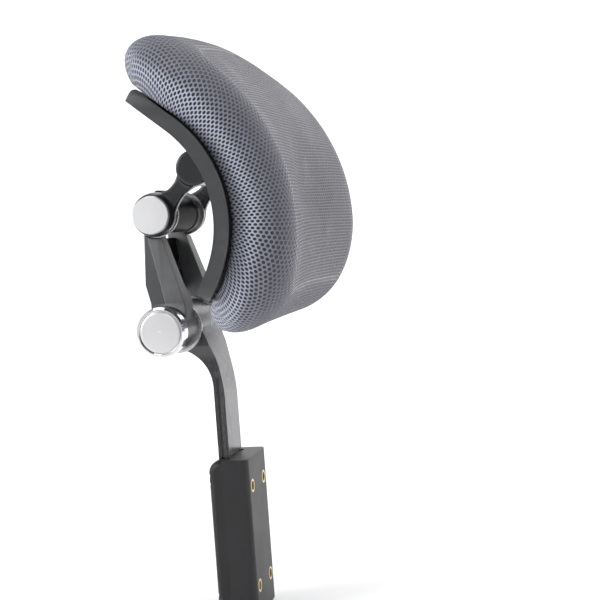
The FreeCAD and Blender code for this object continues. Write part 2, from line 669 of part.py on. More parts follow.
def shell_sweep(label, rear, front, low, high, inset):
    """Curved slab between two radii, straight near its top, wrapped and trimmed to its outline."""
    body = new_body(label, ARC_CENTRE)
    sketch = new_sketch(body, "YZ_Plane")
    add_wrap_axis(sketch)
    stretch = f"cos({high} - shell_bend)"
    outline(sketch, [polar(front, low), (*polar(front, "shell_bend"), f"-({front})"),
                     polar(f"({front}) / {stretch}", high), polar(f"({rear}) / {stretch}", high),
                     polar(rear, "shell_bend"), (*polar(rear, low), rear)])
    turn(body, sketch, "Axis0", "2 * shell_angle", symmetric=True)
    trim_outline(body, f"(shell_half - ({inset}))", f"-shell_drop + ({inset})",
                 f"shell_lift - ({inset})", "shell_corner")
    return body


def make_shell():
    """Dished back shell: a curved floor with a rim along all four edges."""
    block = shell_sweep("shell_block", "shell_rear", "shell_front", "-shell_low", "shell_top", "0")
    hollow = shell_sweep("shell_hollow", "(shell_rear + shell_floor)", "(shell_front + 2)",
                         "-shell_low + 3.5", "shell_top - 3.5", "shell_rim")
    keep(combine("Part::Cut", [block, hollow], "back_shell"))


def pad_solid(label, inset):
    """Pad: rear that follows the shell, crested front, round rolls, ends rounded in plan."""
    body = new_body(label, ARC_CENTRE)
    sketch = new_sketch(body, "YZ_Plane")
    add_wrap_axis(sketch)
    rear = "pad_rear"
    crest = f"(crest_radius - ({inset}))"
    front_low = polar(crest, f"-crest_low + 0.5 * ({inset})", "crest_back", "-crest_drop")
    front_high = polar(crest, f"crest_high - 0.5 * ({inset})", "crest_back", "-crest_drop")
    roll_high = f"-(roll_high - 0.6 * ({inset}))"
    roll_low = f"-(roll_low - 0.6 * ({inset}))"
    high = f"pad_high - ({inset})"
    rear_high = polar(f"{rear} / cos({high} - shell_bend)", high)
    outline(sketch, [(*front_high, f"-{crest}"), (*rear_high, roll_high),
                     polar(rear, "shell_bend"), (*polar(rear, f"-pad_low + ({inset})"), rear),
                     (*front_low, roll_low)])
    turn(body, sketch, "Axis0", "2 * pad_angle", symmetric=True)
    trim_outline(body, f"(pad_half - ({inset}))", f"-pad_drop + ({inset})",
                 f"pad_lift - ({inset})", "pad_corner")
    trim_plan(body, f"(pad_half - ({inset}))", f"(-pad_front + ({inset}))", "pad_round")
    return body


def make_pad():
    """Backing board in the shell's mouth, foam core and the mesh cover stretched over it."""
    board = shell_sweep("backing_board", "(pad_rear - 0.05 - board_thick)", "(pad_rear - 0.05)",
                        "-shell_low + 4", "shell_bend + 9", "shell_rim + 0.6")
    keep(board)
    foam = pad_solid("foam_core", "cover_thick")
    keep(foam)
    outside = pad_solid("pad_outside", "0")
    keep(combine("Part::Cut", [outside, foam], "mesh_cover"))


make_bracket_base()
make_bracket_cover()
make_bracket_inside()
make_stem()
make_leg("left", 1)
make_leg("right", -1)
make_link_middle()
make_lower_pivot()
make_head_bracket()
make_upper_pivot()
make_bracket_screws()
make_shell()
make_pad()

doc.removeObject("probe")
doc.recompute()
os.makedirs("parts", exist_ok=True)
for thing in doc.Objects:
    if "Invalid" in thing.State or "Error" in thing.State:
        raise RuntimeError(f"{thing.Label}: {thing.State}")
for thing in finished:
    if thing.Shape.isNull() or not thing.Shape.isValid():
        raise RuntimeError(f"{thing.Label} has no valid shape")
    thing.Shape.exportStep(f"parts/{thing.Label}.step")
    print(f"{thing.Label:24s} {thing.Shape.Volume:12.1f} mm3  solids {len(thing.Shape.Solids)}")
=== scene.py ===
import json
import math

import bmesh
import bpy
import numpy as np
from mathutils import Matrix, Vector


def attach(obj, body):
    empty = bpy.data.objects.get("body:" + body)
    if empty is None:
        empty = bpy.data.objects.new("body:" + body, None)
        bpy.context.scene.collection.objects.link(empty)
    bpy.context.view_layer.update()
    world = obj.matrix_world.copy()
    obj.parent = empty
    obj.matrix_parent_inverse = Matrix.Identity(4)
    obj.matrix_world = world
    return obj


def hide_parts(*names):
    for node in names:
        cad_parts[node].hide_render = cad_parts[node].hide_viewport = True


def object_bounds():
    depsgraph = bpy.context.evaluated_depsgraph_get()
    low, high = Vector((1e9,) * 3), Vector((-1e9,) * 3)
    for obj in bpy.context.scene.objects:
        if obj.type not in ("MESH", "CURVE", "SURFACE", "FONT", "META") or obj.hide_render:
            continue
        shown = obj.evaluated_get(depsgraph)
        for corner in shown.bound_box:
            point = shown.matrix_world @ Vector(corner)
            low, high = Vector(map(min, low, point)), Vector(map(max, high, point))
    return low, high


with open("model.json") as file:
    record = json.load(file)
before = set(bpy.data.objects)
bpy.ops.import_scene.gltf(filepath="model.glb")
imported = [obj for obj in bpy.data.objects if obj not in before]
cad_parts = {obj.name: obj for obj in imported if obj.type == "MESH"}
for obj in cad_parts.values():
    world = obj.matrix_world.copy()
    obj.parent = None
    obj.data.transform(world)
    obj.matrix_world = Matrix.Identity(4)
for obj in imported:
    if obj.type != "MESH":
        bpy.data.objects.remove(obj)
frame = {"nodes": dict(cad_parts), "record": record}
cad_low, cad_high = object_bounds()
nodes = frame["nodes"]

# The head's shape is set out about its arc centre, in metres: y to the rear, z up.
ARC_Y, ARC_Z = 0.0606, 0.2009
WRAP = 0.735
REAR_R = 0.0754
BEND = math.radians(50)
CREST_BACK, CREST_DROP, CREST_R = 0.0208, 0.0068, 0.1311


# ---------------------------------------------------------------- node material helpers

class Nodes:
    """Builds one material's node tree."""

    def __init__(self, name, base, metallic=0.0, rough=0.5):
        self.mat = bpy.data.materials.new(name)
        self.mat.use_nodes = True
        self.mat.diffuse_color = (*base, 1)
        self.tree = self.mat.node_tree
        self.shader = self.tree.nodes["Principled BSDF"]
        self.shader.inputs["Base Color"].default_value = (*base, 1)
        self.shader.inputs["Metallic"].default_value = metallic
        self.shader.inputs["Roughness"].default_value = rough
        self.coords = self.tree.nodes.new("ShaderNodeTexCoord")
        self.where = self.coords.outputs["Object"]

    def add(self, kind, **settings):
        """A new node with its settings."""
        node = self.tree.nodes.new(kind)
        for key, value in settings.items():
            setattr(node, key, value)
        return node

    def link(self, a, b):
        self.tree.links.new(a, b)

    def put(self, socket, value):
        """Link a socket to the input, or set the input to a constant."""
        if isinstance(value, bpy.types.NodeSocket):
            self.link(value, socket)
        else:
            socket.default_value = value

    def math(self, op, a, b=0.0, clamp=False):
        node = self.add("ShaderNodeMath", operation=op, use_clamp=clamp)
        self.put(node.inputs[0], a)
        self.put(node.inputs[1], b)
        return node.outputs[0]

    def noise(self, scale, detail=4.0, rough=0.55, stretch=(1, 1, 1)):
        """Noise over the object's own coordinates, in metres."""
        space = self.add("ShaderNodeMapping")
        space.inputs["Scale"].default_value = stretch
        self.link(self.where, space.inputs["Vector"])
        node = self.add("ShaderNodeTexNoise")
        node.inputs["Scale"].default_value = scale
        node.inputs["Detail"].default_value = detail
        node.inputs["Roughness"].default_value = rough
        self.link(space.outputs[0], node.inputs["Vector"])
        return node.outputs["Fac"]

    def remap(self, value, low, high, to_low, to_high):
        node = self.add("ShaderNodeMapRange")
        node.inputs["From Min"].default_value = low
        node.inputs["From Max"].default_value = high
        node.inputs["To Min"].default_value = to_low
        node.inputs["To Max"].default_value = to_high
        self.link(value, node.inputs["Value"])
        return node.outputs["Result"]

    def mix(self, factor, a, b, blend="MIX"):
        node = self.add("ShaderNodeMix", data_type="RGBA", blend_type=blend)
        self.put(node.inputs["Factor"], factor)
        self.put(node.inputs["A"], (*a, 1) if isinstance(a, tuple) else a)
        self.put(node.inputs["B"], (*b, 1) if isinstance(b, tuple) else b)
        return node.outputs["Result"]

    def bump(self, height, strength, distance):
        node = self.add("ShaderNodeBump")
        node.inputs["Strength"].default_value = strength
        node.inputs["Distance"].default_value = distance
        self.link(height, node.inputs["Height"])
        self.link(node.outputs[0], self.shader.inputs["Normal"])

    def edges(self, amount):
        """The amount of wear on convex edges, 0 elsewhere."""
        shape = self.add("ShaderNodeNewGeometry")
        worn = self.remap(shape.outputs["Pointiness"], 0.515, 0.58, 0.0, amount)
        return self.math("MULTIPLY", worn, self.noise(260, 3.0), clamp=True)


def scaled(colour, factor, lift=0.0):
    return tuple(min(1, c * factor + lift) for c in colour)


def plastic(name, base, rough, grain=900, grain_depth=0.00006, wear=0.25, gloss=0.5):
    """Moulded plastic: fine spark-erosion grain, patchy sheen, slightly polished edges."""
    m = Nodes(name, base, 0.0, rough)
    patch = m.noise(35, 3.0)
    shade = m.mix(m.remap(patch, 0.3, 0.7, 0.0, 1.0), scaled(base, 0.86), scaled(base, 1.25))
    shade = m.mix(m.edges(wear), shade, scaled(base, 2.2, 0.03))
    m.link(shade, m.shader.inputs["Base Color"])
    fine = m.noise(grain, 2.0, 0.6)
    m.link(m.math("ADD", m.remap(patch, 0.2, 0.8, rough - 0.06, rough + 0.06),
                  m.remap(fine, 0.3, 0.7, -0.02, 0.02)), m.shader.inputs["Roughness"])
    m.bump(fine, 0.2, grain_depth)
    m.shader.inputs["Specular IOR Level"].default_value = gloss
    return m.mat


def metal(name, base, rough, metallic=1.0, stretch=(1, 1, 1), scale=600, depth=0.00003, wear=0.3,
          coat=0.0, painted_x_face_colour=None, x_face_metallic=0.6):
    """Metal or metallic paint: directional micro-scratches, smudged sheen, brighter edges.

    Flat faces square to X take the given face colour with brush lines where one is given: painted
    light where it is lighter, painted shade where it is darker, for how the lamps fall on those
    faces.
    """
    m = Nodes(name, base, metallic, rough)
    patch = m.noise(28, 4.0)
    lines = m.noise(scale, 4.0, 0.7, stretch)
    shade = m.mix(m.remap(patch, 0.3, 0.7, 0.0, 1.0), scaled(base, 0.9), scaled(base, 1.1))
    # painted light and shade: faces square to X get their own colour, standing in for the light
    # that falls on them
    if painted_x_face_colour:
        facing = m.add("ShaderNodeSeparateXYZ")
        m.link(m.add("ShaderNodeNewGeometry").outputs["Normal"], facing.inputs[0])
        x_face_light_mask = m.remap(m.math("ABSOLUTE", facing.outputs["X"]), 0.95, 0.99, 0.0, 1.0)
        shade = m.mix(x_face_light_mask, shade, m.mix(lines, scaled(painted_x_face_colour, 0.7), scaled(painted_x_face_colour, 1.3)))
        m.link(m.remap(x_face_light_mask, 0.0, 1.0, metallic, x_face_metallic),
               m.shader.inputs["Metallic"])
    shade = m.mix(m.edges(wear), shade, scaled(base, 1.8, 0.05))
    m.link(shade, m.shader.inputs["Base Color"])
    m.link(m.math("ADD", m.remap(patch, 0.25, 0.75, rough * 0.8, rough * 1.2),
                  m.remap(lines, 0.3, 0.7, -0.04, 0.04)), m.shader.inputs["Roughness"])
    m.bump(lines, 0.15, depth)
    m.shader.inputs["Coat Weight"].default_value = coat
    m.shader.inputs["Coat Roughness"].default_value = 0.15
    return m.mat


def turned_disc(name, base, rough, axis_y, axis_z):
    """Lathe-turned metal face: fine rings about an axis along X."""
    m = Nodes(name, base, 0.7, rough)
    move = m.add("ShaderNodeMapping")
    move.inputs["Location"].default_value = (0, -axis_y, -axis_z)
    m.link(m.where, move.inputs["Vector"])
    split = m.add("ShaderNodeSeparateXYZ")
    m.link(move.outputs[0], split.inputs[0])
    radius = m.math("SQRT", m.math("ADD", m.math("MULTIPLY", split.outputs["Y"],
                                                 split.outputs["Y"]),
                                   m.math("MULTIPLY", split.outputs["Z"], split.outputs["Z"])))
    rings = m.add("ShaderNodeTexNoise", noise_dimensions="1D")
    rings.inputs["Scale"].default_value = 5200
    rings.inputs["Detail"].default_value = 3
    m.link(radius, rings.inputs["W"])
    patch = m.noise(60, 3.0)
    m.link(m.math("ADD", m.remap(patch, 0.3, 0.7, rough - 0.04, rough + 0.05),
                  m.remap(rings.outputs["Fac"], 0.3, 0.7, -0.05, 0.05)),
           m.shader.inputs["Roughness"])
    m.link(m.mix(m.remap(rings.outputs["Fac"], 0.3, 0.7, 0, 1), scaled(base, 0.95),
                 scaled(base, 1.05)), m.shader.inputs["Base Color"])
    m.bump(rings.outputs["Fac"], 0.15, 0.00002)
    return m.mat


def spacer_mesh(name):
    """Knitted spacer mesh: staggered oval holes between bright yarn loops, the holes painted
    near-black as painted shade inside the knit, with light and shade painted round the rolls.
    """
    m = Nodes(name, (0.30, 0.30, 0.33), 0.0, 0.6)
    spread = m.add("ShaderNodeUVMap", uv_map="knit")
    split = m.add("ShaderNodeSeparateXYZ")
    m.link(spread.outputs[0], split.inputs[0])
    across, along = split.outputs["X"], split.outputs["Y"]
    side = m.add("ShaderNodeAttribute", attribute_name="side")
    side = side.outputs["Fac"]

    def holes(pitch_x, pitch_y):
        """Distance field of staggered ovals: 0 in a hole's middle, 1 on the yarn between holes."""
        row = m.math("DIVIDE", along, pitch_y)
        shift = m.math("MULTIPLY", m.math("FLOORED_MODULO", m.math("FLOOR", row), 2.0), 0.5)
        u = m.math("SUBTRACT", m.math("FRACT", m.math("ADD", m.math("DIVIDE", across, pitch_x),
                                                      shift)), 0.5)
        v = m.math("SUBTRACT", m.math("FRACT", row), 0.5)
        wide = m.math("MULTIPLY", m.math("MULTIPLY", u, u), 4.6)
        tall = m.math("MULTIPLY", m.math("MULTIPLY", v, v), 3.4)
        return m.math("SQRT", m.math("ADD", wide, tall))

    depth_coarse = m.remap(holes(3.3, 2.1), 0.64, 0.88, 0.0, 1.0)
    depth_fine = m.remap(holes(4.2, 1.9), 0.66, 0.92, 0.0, 1.0)
    open_mix = m.add("ShaderNodeMix", data_type="FLOAT")
    m.put(open_mix.inputs["Factor"], side)
    m.put(open_mix.inputs["A"], depth_fine)
    m.put(open_mix.inputs["B"], depth_coarse)
    yarn = open_mix.outputs["Result"]

    twist = m.add("ShaderNodeTexWave", bands_direction="DIAGONAL")
    twist.inputs["Scale"].default_value = 2.6
    twist.inputs["Distortion"].default_value = 1.2
    m.link(spread.outputs[0], twist.inputs["Vector"])
    fuzz = m.noise(1500, 2.0)
    tone = m.noise(22, 3.0)
    turn = m.add("ShaderNodeAttribute", attribute_name="turn")
    painted_light_ramp = m.add("ShaderNodeValToRGB")
    m.link(m.math("ADD", turn.outputs["Fac"], m.remap(tone, 0.3, 0.7, -0.03, 0.03)),
           painted_light_ramp.inputs["Fac"])
    ramp = painted_light_ramp.color_ramp
    ramp.interpolation = "EASE"
    #     painted light and shade round the roll, from the front field over the ridge and round the
    #     roll to the shell: a painted highlight on the ridge, painted shade across the middle of
    #     the roll, painted light towards the shell
    stops = ((0.0, (0.170, 0.163, 0.160)), (0.05, (0.34, 0.33, 0.33)),
             (0.13, (0.110, 0.107, 0.118)), (0.26, (0.050, 0.050, 0.064)),
             (0.42, (0.065, 0.067, 0.088)), (0.60, (0.20, 0.21, 0.27)),
             (0.78, (0.58, 0.61, 0.74)), (1.0, (0.52, 0.54, 0.68)))
    while len(ramp.elements) < len(stops):
        ramp.elements.new(0.5)
    for stop, (place, colour) in zip(ramp.elements, stops):
        stop.position = place
        stop.color = (*colour, 1)
    thread = m.mix(m.remap(twist.outputs["Fac"], 0.2, 0.9, 0.0, 0.25), painted_light_ramp.outputs["Color"],
                   (0.20, 0.20, 0.24), "SCREEN")
    # painted shade: the holes are coloured near-black for the shade inside the knit, darker still
    # on the side rolls
    hole_shade = m.mix(side, (0.030, 0.028, 0.030), (0.006, 0.006, 0.010))
    m.link(m.mix(yarn, hole_shade, thread), m.shader.inputs["Base Color"])
    height = m.math("ADD", m.math("MULTIPLY", yarn, 1.0),
                    m.math("ADD", m.math("MULTIPLY", twist.outputs["Fac"], 0.22),
                           m.math("MULTIPLY", fuzz, 0.12)))
    m.bump(height, 0.9, 0.0006)
    m.link(m.remap(yarn, 0.0, 1.0, 0.9, 0.48), m.shader.inputs["Roughness"])
    m.shader.inputs["Sheen Weight"].default_value = 0.35
    m.shader.inputs["Sheen Roughness"].default_value = 0.45
    m.shader.inputs["Sheen Tint"].default_value = (0.80, 0.82, 0.95, 1)
    m.shader.inputs["Specular IOR Level"].default_value = 0.6
    return m.mat


def foam_material(name):
    """Open-cell foam."""
    m = Nodes(name, (0.12, 0.12, 0.125), 0.0, 0.95)
    cells = m.add("ShaderNodeTexVoronoi")
    cells.inputs["Scale"].default_value = 900
    m.link(m.where, cells.inputs["Vector"])
    m.link(m.mix(m.remap(cells.outputs["Distance"], 0.1, 0.6, 0, 1), (0.16, 0.16, 0.165),
                 (0.06, 0.06, 0.065)), m.shader.inputs["Base Color"])
    m.bump(cells.outputs["Distance"], 0.6, 0.0003)
    return m.mat


# y and z of the two pivots
LOWER_AXIS = (0.040, 0.135)
UPPER_AXIS = (0.0447, 0.2062)
looks = {
    "bracket_plastic": plastic("bracket_plastic", (0.011, 0.011, 0.012), 0.46, gloss=0.35),
    "liner_plastic": plastic("liner_plastic", (0.62, 0.62, 0.58), 0.4, wear=0.1),
    "steel": metal("steel", (0.50, 0.50, 0.51), 0.32, stretch=(1, 6, 6)),
    "brass": metal("brass", (0.72, 0.54, 0.24), 0.3),
    "black_screws": metal("black_screws", (0.035, 0.035, 0.037), 0.38, 0.6),
    # stem: faces square to X painted darker, painted shade on its sides
    "stem_metal": metal("stem_metal", (0.075, 0.075, 0.079), 0.28, 0.8, (1, 1, 0.15), 420,
                        0.00004, 0.3, 0.1, (0.016, 0.016, 0.018), 0.2),
    # legs: faces square to X painted lighter, painted light on their sides
    "leg_metal": metal("leg_metal", (0.022, 0.023, 0.025), 0.36, 0.1, (1, 1, 0.2), 420, 0.00003,
                       0.3, 0.0, (0.21, 0.215, 0.22)),
    "black_plastic": plastic("black_plastic", (0.004, 0.004, 0.005), 0.5, 500, 0.00002,
                             wear=0.05, gloss=0.12),
    "washer_steel": metal("washer_steel", (0.60, 0.60, 0.60), 0.25, stretch=(1, 5, 5)),
    "chrome": metal("chrome", (0.86, 0.86, 0.87), 0.09, 1.0, (1, 1, 1), 300, 0.00001, 0.1),
    "arm_plastic": plastic("arm_plastic", (0.016, 0.018, 0.021), 0.26, 1600, 0.00001, wear=0.3),
    "shell_plastic": plastic("shell_plastic", (0.031, 0.032, 0.034), 0.42, 1000, 0.00006),
    "foam": foam_material("foam"),
    "mesh_fabric": spacer_mesh("mesh_fabric"),
}
disc_looks = {"lower": turned_disc("silver_disc_lower", (0.66, 0.66, 0.67), 0.36, *LOWER_AXIS),
              "upper": turned_disc("silver_disc_upper", (0.70, 0.70, 0.71), 0.40, *UPPER_AXIS)}

for part in frame["record"]["subparts"]:
    thing = nodes[part["node"]]
    slot = part["material_slot"]
    if slot == "silver_disc":
        look = disc_looks[part["node"].split("_")[0]]
    else:
        look = looks[slot]
    thing.data.materials.clear()
    thing.data.materials.append(look)


# ---------------------------------------------------------------- softened edges on the CAD parts

def soften(name, width):
    """Moulded or broken edges: weld the facets, bevel what is sharper than the angle."""
    thing = nodes[name]
    weld = thing.modifiers.new("weld", "WELD")
    weld.merge_threshold = 0.00002
    bevel = thing.modifiers.new("bevel", "BEVEL")
    bevel.width = width
    bevel.segments = 3
    bevel.limit_method = "ANGLE"
    bevel.angle_limit = math.radians(32)
    bevel.use_clamp_overlap = True
    bevel.harden_normals = False
    smooth = thing.modifiers.new("normals", "WEIGHTED_NORMAL")
    smooth.keep_sharp = False
    smooth.weight = 60


for name, width in (("back_shell", 0.0010), ("bracket_base", 0.0006), ("bracket_cover", 0.0006),
                    ("stem_bar", 0.0009), ("leg_left", 0.0007), ("leg_right", 0.0007),
                    ("link_web", 0.0006)):
    soften(name, width)

# The moulded arm has no sharp edge anywhere, so it is remeshed and smoothed as a whole.
arm_form = nodes["head_bracket"].modifiers.new("form", "REMESH")
arm_form.mode = "VOXEL"
arm_form.voxel_size = 0.0009
arm_form.use_smooth_shade = True
arm_round = nodes["head_bracket"].modifiers.new("round", "SMOOTH")
arm_round.factor = 0.5
arm_round.iterations = 9


# ---------------------------------------------------------------- cushion

def rear_frame(s):
    """Point of the pad's rear curve at arc length s, and the direction square to it outward."""
    a = min(s / REAR_R, BEND)
    rest = max(0.0, s - REAR_R * BEND)
    out = (-math.cos(a), math.sin(a))
    return (REAR_R * out[0] + rest * math.sin(a), REAR_R * out[1] + rest * math.cos(a)), out


def crest_height(s):
    """Height of the pad's front above its rear curve, at arc length s."""
    (y, z), out = rear_frame(s)
    y -= CREST_BACK
    z += CREST_DROP
    along = y * out[0] + z * out[1]
    return -along + math.sqrt(along ** 2 - (y * y + z * z - CREST_R ** 2))


def unroll(y, z):
    """Side-view point about the arc centre to (arc length along the rear curve, height)."""
    if math.atan2(z, -y) < BEND:
        return REAR_R * math.atan2(z, -y), math.hypot(y, z) - REAR_R
    out = (-math.cos(BEND), math.sin(BEND))
    y -= REAR_R * out[0]
    z -= REAR_R * out[1]
    return REAR_R * BEND + y * math.sin(BEND) + z * math.cos(BEND), y * out[0] + z * out[1]


def roll_path(start, lean, pull, end, steps):
    """Curve seen from the side, from the crest's end round to the rear edge, unrolled."""
    a = Vector(start)
    b = a + Vector(lean)
    c = Vector(pull)
    d = Vector(end)
    path = []
    for k in range(steps + 1):
        t = k / steps
        r = 1 - t
        point = a * r ** 3 + b * 3 * r * r * t + c * 3 * r * t * t + d * t ** 3
        path.append(unroll(point.x, point.y))
    return path


def place_point(x, s, h):
    """Unrolled pad coordinates (across, along the rear curve, outward) to the row frame."""
    if s < REAR_R * BEND:
        a = s / REAR_R
        y = -(REAR_R + h) * math.cos(a)
        z = (REAR_R + h) * math.sin(a)
    else:
        rest = s - REAR_R * BEND
        y = -(REAR_R + h) * math.cos(BEND) + rest * math.sin(BEND)
        z = (REAR_R + h) * math.sin(BEND) + rest * math.cos(BEND)
    turn = x / WRAP
    reach = WRAP + y
    return (reach * math.sin(turn), ARC_Y - WRAP + reach * math.cos(turn), ARC_Z + z)


# The front field's half width, and the rings of faces from it round to the rear edge.
HALF_X = 0.105
RINGS = 20
# The upper and lower rolls in side view: where each leaves the crest, which way, and its end.
CREST_ENDS = {}
LEANS = {}
for word, angle, run in (("low", -15.5, -0.022), ("high", 50.0, 0.034)):
    tilt = math.radians(angle)
    CREST_ENDS[word] = (CREST_BACK - CREST_R * math.cos(tilt),
                        -CREST_DROP + CREST_R * math.sin(tilt))
    LEANS[word] = (run * math.sin(tilt), run * math.cos(tilt))
PULLS = {"low": (-0.0540, -0.0800), "high": (-0.0080, 0.1060)}
REAR_ENDS = {"low": (-0.0547, -0.0519), "high": (-0.0207, 0.0810)}
PATHS = {word: roll_path(CREST_ENDS[word], LEANS[word], PULLS[word], REAR_ENDS[word], RINGS)
         for word in ("low", "high")}
S_LOW = PATHS["low"][0][0]
S_HIGH = PATHS["high"][0][0]
# The front field's lower and upper corner radii, the dish between its ridges with the lengths
# over which it fades below and above, and the crown of the top edge with its length.
INNER_CORNER = (0.024, 0.012)
VALLEY, VALLEY_FOOT, VALLEY_HEAD = 0.010, 0.045, 0.095
TOP_CROWN, CROWN_RUN = 0.009, 0.080
# How far the side rolls stand out, and where they end at the rear.
SIDE_ROLL, SIDE_REAR = 0.0350, 0.0262
# The rear face tucks in behind the rolls and lies this far off the shell.
TUCK_IN, TUCK_GAP, REAR_GAP = 0.006, 0.0008, 0.0012
# The knit's length round a roll in mm, and its stretch across, along and round the roll.
ROLL_KNIT = 34.0
KNIT_ACROSS, KNIT_ALONG, KNIT_ROUND = 1000, 1400, 1.5


def inner_point(u, v):
    """Grid position (-1..1 each way) to the front field, a rectangle with rounded corners."""
    corner = INNER_CORNER[0 if v < 0 else 1]
    mid = (S_LOW + S_HIGH) / 2
    half_s = (S_HIGH - S_LOW) / 2
    x, s = u * HALF_X, v * half_s
    over_x = abs(x) - (HALF_X - corner)
    over_s = abs(s) - (half_s - corner)
    if over_x > 0 and over_s > 0:
        size = max(over_x, over_s) / math.hypot(over_x, over_s)
        x = math.copysign(HALF_X - corner + over_x * size, x)
        s = math.copysign(half_s - corner + over_s * size, s)
    return x, mid + s


def ease(value):
    """Smooth step from 0 to 1."""
    value = min(1.0, max(0.0, value))
    return value * value * (3 - 2 * value)


def front_height(x, s):
    """Crest height less the valley between the ridges, plus the crown along the top edge."""
    share = min(1.0, abs(x) / HALF_X)
    valley = VALLEY * ease(min((s - S_LOW) / VALLEY_FOOT, (S_HIGH - s) / VALLEY_HEAD))
    crown = TOP_CROWN * ease((s - S_HIGH + CROWN_RUN) / CROWN_RUN)
    return (crest_height(s) - valley * 0.5 * (1 + math.cos(math.pi * share))
            + crown * (1 - share * share))


def make_cushion():
    """Crowned pad: a dished front field between two soft ridges, and a full roll all round."""
    columns, rows, coarse = 64, 44, 4
    mesh = bpy.data.meshes.new("pad_cushion")
    work = bmesh.new()
    knit = []
    side = []
    # share round the roll per vertex; the knit's colour ramp paints light and shade from it
    turn = []

    def vertex(x, s, h, uv, flank, share=1.0):
        knit.append(uv)
        side.append(flank)
        turn.append(share)
        return work.verts.new(place_point(x, s, h))

    grid = [[None] * (rows + 1) for _ in range(columns + 1)]
    for i in range(columns + 1):
        for j in range(rows + 1):
            x, s = inner_point(-1 + 2 * i / columns, -1 + 2 * j / rows)
            grid[i][j] = vertex(x, s, front_height(x, s), (x * KNIT_ACROSS, s * KNIT_ALONG),
                                0.0, 0.0)
    for i in range(columns):
        for j in range(rows):
            work.faces.new((grid[i][j], grid[i + 1][j], grid[i + 1][j + 1], grid[i][j + 1]))
    loop = ([(i, 0) for i in range(columns)] + [(columns, j) for j in range(rows)]
            + [(i, rows) for i in range(columns, 0, -1)] + [(0, j) for j in range(rows, 0, -1)])
    edge = [inner_point(-1 + 2 * i / columns, -1 + 2 * j / rows) for i, j in loop]
    count = len(loop)
    previous = [grid[i][j] for i, j in loop]
    outward = []
    for n in range(count):
        ax, a_s = edge[n - 1]
        bx, b_s = edge[(n + 1) % count]
        tangent = Vector((bx - ax, b_s - a_s)).normalized()
        outward.append((tangent.y, -tangent.x))
    last = math.pi - math.asin(SIDE_REAR / SIDE_ROLL)
    for k in range(1, RINGS + 1):
        current = []
        for n in range(count):
            x, s = edge[n]
            out_x, out_s = outward[n]
            path = PATHS["high"] if out_s > 0 else PATHS["low"]
            weight = out_x * out_x
            angle = last * k / RINGS
            level = (math.cos(angle) - math.cos(last)) / (1 - math.cos(last))
            side_out = SIDE_ROLL * math.sin(angle)
            side_height = front_height(x, s) * max(0.0, level) ** 0.92
            end_out = abs(path[k][0] - path[0][0])
            end_out = math.copysign(end_out, (path[k][0] - path[0][0]) * out_s)
            end_height = path[k][1] * front_height(x, s) / path[0][1]
            out = weight * side_out + (1 - weight) * end_out
            height = weight * side_height + (1 - weight) * end_height
            travel = ROLL_KNIT * k / RINGS
            flank = min(1.0, max(0.0, (travel - 2.0) / 11.0))
            current.append(vertex(x + out_x * out, s + out_s * out, height,
                                  (x * KNIT_ACROSS + out_x * travel * KNIT_ROUND,
                                   s * KNIT_ALONG + out_s * travel * KNIT_ROUND),
                                  flank * min(1, weight * 2), k / RINGS))
        for n in range(count):
            m = (n + 1) % count
            work.faces.new((previous[n], current[n], current[m], previous[m]))
        previous = current
    tuck = []
    for n in range(count):
        x, s = edge[n]
        out_x, out_s = outward[n]
        path = PATHS["high"] if out_s > 0 else PATHS["low"]
        weight = out_x * out_x
        end_out = (path[-1][0] - path[0][0]) * (1 if out_s > 0 else -1)
        rear = weight * SIDE_REAR + (1 - weight) * end_out - TUCK_IN
        tuck.append(vertex(x + out_x * rear, s + out_s * rear, TUCK_GAP,
                           (x * KNIT_ACROSS, s * KNIT_ALONG), 1.0))
    for n in range(count):
        m = (n + 1) % count
        work.faces.new((previous[n], tuck[n], tuck[m], previous[m]))
    back = {}
    for i in range(0, columns + 1, coarse):
        for j in range(0, rows + 1, coarse):
            x, s = inner_point(-1 + 2 * i / columns, -1 + 2 * j / rows)
            back[i, j] = vertex(x, s, REAR_GAP, (x * KNIT_ACROSS, s * KNIT_ALONG), 0.0)
    for i in range(0, columns, coarse):
        for j in range(0, rows, coarse):
            work.faces.new((back[i, j], back[i, j + coarse], back[i + coarse, j + coarse],
                            back[i + coarse, j]))
    for n in range(0, count, coarse):
        m = (n + coarse) % count
        outer = [tuck[(n + k) % count] for k in range(coarse + 1)]
        work.faces.new([*outer, back[loop[m]], back[loop[n]]])
    work.verts.ensure_lookup_table()
    uv_layer = work.loops.layers.uv.new("knit")
    flank_layer = work.verts.layers.float.new("side")
    turn_layer = work.verts.layers.float.new("turn")
    work.verts.index_update()
    for vert in work.verts:
        vert[flank_layer] = side[vert.index]
        vert[turn_layer] = turn[vert.index]
    for face in work.faces:
        for corner in face.loops:
            corner[uv_layer].uv = knit[corner.vert.index]
    work.normal_update()
    work.to_mesh(mesh)
    work.free()
    for polygon in mesh.polygons:
        polygon.use_smooth = True
    thing = bpy.data.objects.new("pad_cushion", mesh)
    bpy.context.scene.collection.objects.link(thing)
    return thing, len(back) + count * 2


cushion, pinned = make_cushion()


PRESSURE, CLOTH_FRAMES, CLOTH_CAP = 2.2, 14, 0.003


